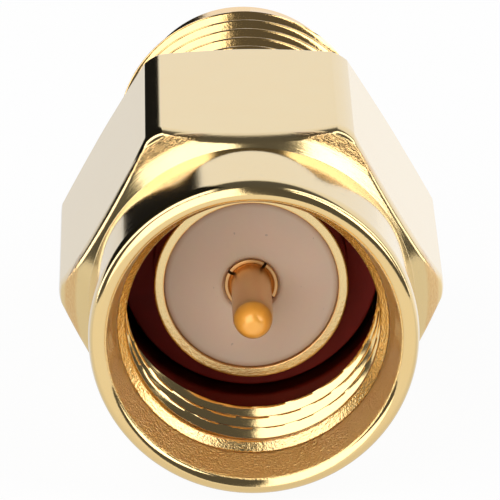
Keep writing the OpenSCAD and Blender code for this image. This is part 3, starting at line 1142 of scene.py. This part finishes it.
class MESH_OT_adapter_contacts(bpy.types.Operator):
    """Turn the slotted contact and the pin"""

    bl_idname = "mesh.adapter_contacts"
    bl_label = "Contact and pin"

    def execute(self, context):
        core = sizes(context.scene.adapter_core)
        material = pin_gold_material(context.scene.adapter_finish)
        half = core.contact_collar / 2
        floor = CONTACT_FRONT + core.socket_depth
        section = rounded([
            (0.0, floor, 0.0),
            (core.socket, floor, 0.0),
            (core.socket, CONTACT_FRONT + core.socket_mouth, FINE),
            (core.socket + core.socket_mouth, CONTACT_FRONT, FINE),
            (core.contact, CONTACT_FRONT, EASED),
            (core.contact, BEAD_JOINT - half, 0.0),
            (CONTACT_COLLAR_R, BEAD_JOINT - half, EASED),
            (CONTACT_COLLAR_R, BEAD_JOINT + half, EASED),
            (core.contact, BEAD_JOINT + half, 0.0),
            (core.contact, JACK_PLANE, FINE),
            (core.jack_pin, JACK_PLANE, FINE),
        ]) + self.dome(core.jack_pin, CONTACT_TIP, 1.0, core)
        contact = turn_piece("centre_contact_gold", section, core.columns, closed=False)
        self.cut_slots(contact, core)
        finish_piece(contact, material, "body", "centre_contact")
        section = [(0.0, PIN_ROOT), (PIN_R, PIN_ROOT)] + self.dome(PIN_R, PIN_TIP, -1.0, core)
        pin = turn_piece("plug_pin_gold", section, core.columns, closed=False)
        finish_piece(pin, material, "body", "plug_pin")
        return {"FINISHED"}

    def dome(self, radius, tip, way, core):
        """Points of a pin's shaft end, its domed tip and the flat on it."""
        points = [(radius, tip - way * (core.tip_len + GUARD))]
        for turn in np.linspace(0.0, math.pi / 2, DOME_STEPS):
            r = core.tip_flat + (radius - core.tip_flat) * math.cos(turn)
            points.append((r, tip - way * core.tip_len * (1 - math.sin(turn))))
        return points + [(0.0, tip)]

    def cut_slots(self, contact, core):
        """Saw two crossed slots into the socket."""
        for turn in (core.slot_turn, core.slot_turn + math.pi / 2):
            deselect()
            bpy.ops.mesh.primitive_cube_add(size=1.0, location=(0.0, CONTACT_FRONT, 0.0))
            saw = bpy.context.active_object
            # The saw's middle is on the front face, and it is wider than the contact
            saw.scale = (4 * core.contact, 2 * core.slot_len, core.slot_w)
            saw.rotation_euler = (0.0, turn, 0.0)
            bpy.context.view_layer.objects.active = contact
            contact.select_set(True)
            cut = contact.modifiers.new("slot", "BOOLEAN")
            cut.operation = "DIFFERENCE"
            cut.solver = "EXACT"
            cut.object = saw
            bpy.ops.object.modifier_apply(modifier=cut.name)
            bpy.data.objects.remove(saw)


class SCENE_OT_adapter_stage(bpy.types.Operator):
    """Set the floor, the light tent and the camera"""

    bl_idname = "scene.adapter_stage"
    bl_label = "Stage"

    def execute(self, context):
        stage = context.scene.adapter_stage
        self.lay_floor(stage)
        self.hang_tent(context.scene, stage)
        self.set_camera(context.scene, stage)
        context.scene.view_settings.view_transform = "Standard"
        return {"FINISHED"}

    def lay_floor(self, stage):
        """Lay a pale floor under the nut's lower flat."""
        deselect()
        bpy.ops.mesh.primitive_plane_add(size=stage.floor_size, location=(0.0, 0.0, FLOOR_Z))
        floor = bpy.context.active_object
        floor.name = floor.data.name = "floor"
        bpy.ops.object.transform_apply(location=True)
        material, sheet = new_material("pale_floor")
        x, y, _ = sheet.split(sheet.point())
        camera = sheet.ray("Is Camera Ray")
        front = sheet.span(y, *FRONT_GAIN)
        right = sheet.span(x, *RIGHT_GAIN) * sheet.span(y, *REAR_GAIN)
        mirrored = FLOOR_GLOW.base + FLOOR_GLOW.front * front + FLOOR_GLOW.right * right
        glow = camera + (1.0 - camera) * mirrored
        white = sheet.add("ShaderNodeEmission", None, {"Color": WHITE, "Strength": glow})
        matt = sheet.add("ShaderNodeBsdfDiffuse", None, {"Color": solid(stage.floor)})
        factor = camera * FLOOR_SEEN.camera + sheet.ray("Is Glossy Ray") * FLOOR_SEEN.gold
        mixed = sheet.add("ShaderNodeMixShader", None, {0: factor, 1: matt, 2: white})
        sheet.add("ShaderNodeOutputMaterial", None, {"Surface": mixed})
        floor.data.materials.append(material)

    def hang_tent(self, scene, stage):
        """Hang the backdrop, the flag and the soft lights in a dim room for the gold to mirror."""
        world = bpy.data.worlds.new("studio")
        world.use_nodes = True
        sheet = Sheet(world.node_tree)
        way = sheet.add("ShaderNodeTexCoord", out="Generated")
        glow = stage.room
        for key, edges in PANELS.items():
            mask = 1.0
            for normal, offset, soft in edges:
                dot = sheet.add(
                    "ShaderNodeVectorMath", {"operation": "DOT_PRODUCT"}, {0: way, 1: normal}, out="Value"
                )
                mask = sheet.span(dot, offset - soft, offset + soft) * mask
            glow = glow + mask * (getattr(stage, key) - stage.room)
        camera = sheet.ray("Is Camera Ray")
        strength = glow * (1.0 - camera) + camera
        light = sheet.add("ShaderNodeBackground", None, {"Color": WHITE, "Strength": strength})
        sheet.add("ShaderNodeOutputWorld", None, {"Surface": light})
        scene.world = world

    def set_camera(self, scene, stage):
        """Stand the camera where the picture was taken from."""
        camera = bpy.data.objects.new("camera", bpy.data.cameras.new("camera"))
        scene.collection.objects.link(camera)
        camera.data.lens = stage.lens
        camera.data.sensor_width = SENSOR
        camera.data.clip_start = NEAREST
        turn, tilt, lean = stage.azimuth, stage.elevation, stage.roll
        level_ahead = Vector((math.sin(turn), math.cos(turn), 0.0))
        ahead = level_ahead * math.cos(tilt) - Vector((0.0, 0.0, math.sin(tilt)))
        right = Vector((math.cos(turn), -math.sin(turn), 0.0))
        up = right.cross(ahead)
        across = right * math.cos(lean) + up * math.sin(lean)
        above = up * math.cos(lean) - right * math.sin(lean)
        facing = Matrix((across, above, -ahead)).transposed().to_4x4()
        camera.matrix_world = Matrix.Translation(Vector(stage.eye)) @ facing
        scene.camera = camera


class VIEW3D_PT_adapter(bpy.types.Panel):
    """Sidebar panel that lists the adapter's pieces."""

    bl_label = "Coaxial Adapter"
    bl_idname = "VIEW3D_PT_adapter"
    bl_space_type = "VIEW_3D"
    bl_region_type = "UI"
    bl_category = "Adapter"

    def draw(self, context):
        for operator in OPERATORS:
            self.layout.operator(operator.bl_idname)
        for key, group in GROUPS.items():
            box = self.layout.box()
            for name in group.__annotations__:
                box.prop(getattr(context.scene, key), name)


OPERATORS = (
    MESH_OT_adapter_nut,
    MESH_OT_adapter_body,
    MESH_OT_adapter_seal,
    MESH_OT_adapter_beads,
    MESH_OT_adapter_contacts,
    SCENE_OT_adapter_stage,
)


def register():
    """Register the classes and hang the settings on the scene."""
    for cls in (*GROUPS.values(), *OPERATORS, VIEW3D_PT_adapter):
        bpy.utils.register_class(cls)
    for key, group in GROUPS.items():
        setattr(bpy.types.Scene, key, PointerProperty(type=group))


def unregister():
    """Take the settings and the classes away again."""
    for key in GROUPS:
        delattr(bpy.types.Scene, key)
    for cls in (VIEW3D_PT_adapter, *reversed(OPERATORS), *reversed(list(GROUPS.values()))):
        bpy.utils.unregister_class(cls)


def main():
    """Make every piece and the stage."""
    register()
    bpy.ops.mesh.adapter_nut()
    bpy.ops.mesh.adapter_body()
    bpy.ops.mesh.adapter_seal()
    bpy.ops.mesh.adapter_beads()
    bpy.ops.mesh.adapter_contacts()
    bpy.ops.scene.adapter_stage()


if __name__ == "__main__":
    main()
